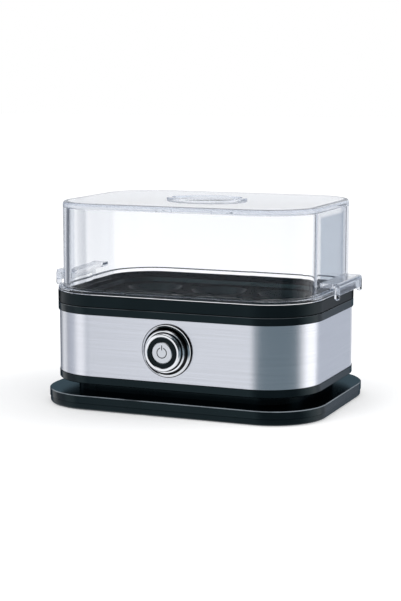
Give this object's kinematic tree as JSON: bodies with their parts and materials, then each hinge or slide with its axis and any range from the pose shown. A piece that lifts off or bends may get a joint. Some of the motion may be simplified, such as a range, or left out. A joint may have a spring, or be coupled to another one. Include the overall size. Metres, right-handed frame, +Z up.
{
  "type": "electric egg cooker",
  "caption": "Boxy electric egg cooker: brushed steel body on a black tray, push button, lift-out egg rack and clear lid with end handles.",
  "frame": {"origin": "on the table under the middle of the housing, which is the middle of the part's bounding box", "axes": "+X to the right along the long side, +Y towards the back where the cord goes in, +Z up; the push button faces -Y"},
  "size_m": [0.2106, 0.1564, 0.1412],
  "materials": {
    "black_gloss": "glossy black moulding",
    "black_matte": "fine grained black moulding",
    "rubber": "matte",
    "silicone": "satin silicone",
    "brushed_band": "fine horizontal brushing",
    "screw_steel": "zinc plated",
    "plate_steel": "satin pressed steel",
    "heater_sheath": "dull drawn tube",
    "shield_sheet": "bright rolled sheet",
    "ceramic": "glazed ceramic",
    "chrome": "mirror",
    "ring_black": "piano black",
    "cap_silver": "satin",
    "icon_dark": "satin",
    "spring_steel": "drawn wire",
    "white_moulding": "natural moulding",
    "phenolic": "dark phenolic",
    "board": "solder mask",
    "relay_case": "smooth",
    "lead_cover": "glass fibre sleeve",
    "clear": "clear, polished"
  },
  "bodies": {
    "base": {"rubber_feet": "rubber", "bottom_cover": "black_matte", "base_tray": "black_gloss", "base_screws": "screw_steel", "neck_screws": "screw_steel", "housing": "black_gloss", "steel_band": "brushed_band", "top_collar": "black_gloss", "collar_screws": "screw_steel", "plate_seal": "silicone", "heating_plate": "plate_steel", "heating_element": "heater_sheath", "terminal_pins": "ceramic", "element_clips": "shield_sheet", "plate_studs": "screw_steel", "plate_nuts": "screw_steel", "heat_shield": "shield_sheet", "thermostat": "phenolic", "thermostat_bracket": "shield_sheet", "thermal_fuse": "shield_sheet", "fuse_clip": "shield_sheet", "button_bezel": "chrome", "bezel_nut": "white_moulding", "button_spring": "spring_steel", "switch_body": "white_moulding", "control_board": "board", "relay": "relay_case", "buzzer": "black_matte", "board_screws": "screw_steel", "terminal_block": "white_moulding", "terminal_screws": "screw_steel", "cord_grommet": "rubber", "lead_wires": "lead_cover"},
    "button": {"button_sleeve": "chrome", "button_ring": "ring_black", "button_cap": "cap_silver", "power_icon": "icon_dark", "button_stem": "white_moulding"},
    "rack": {"egg_rack": "black_gloss"},
    "lid": {"clear_lid": "clear"}
  },
  "joints": [
    {"name": "button_press", "type": "slide", "parent": "base", "child": "button", "axis": [0, 1, 0], "range_m": [0, 0.002], "stiffness_N_per_m": 400, "springref_m": -0.003, "deforming": ["button_spring"]},
    {"name": "rack_lift", "type": "slide", "parent": "base", "child": "rack", "axis": [0, 0, 1], "range_m": [0, 0.06]},
    {"name": "lid_lift", "type": "slide", "parent": "rack", "child": "lid", "axis": [0, 0, 1], "range_m": [0, 0.14]}
  ]
}
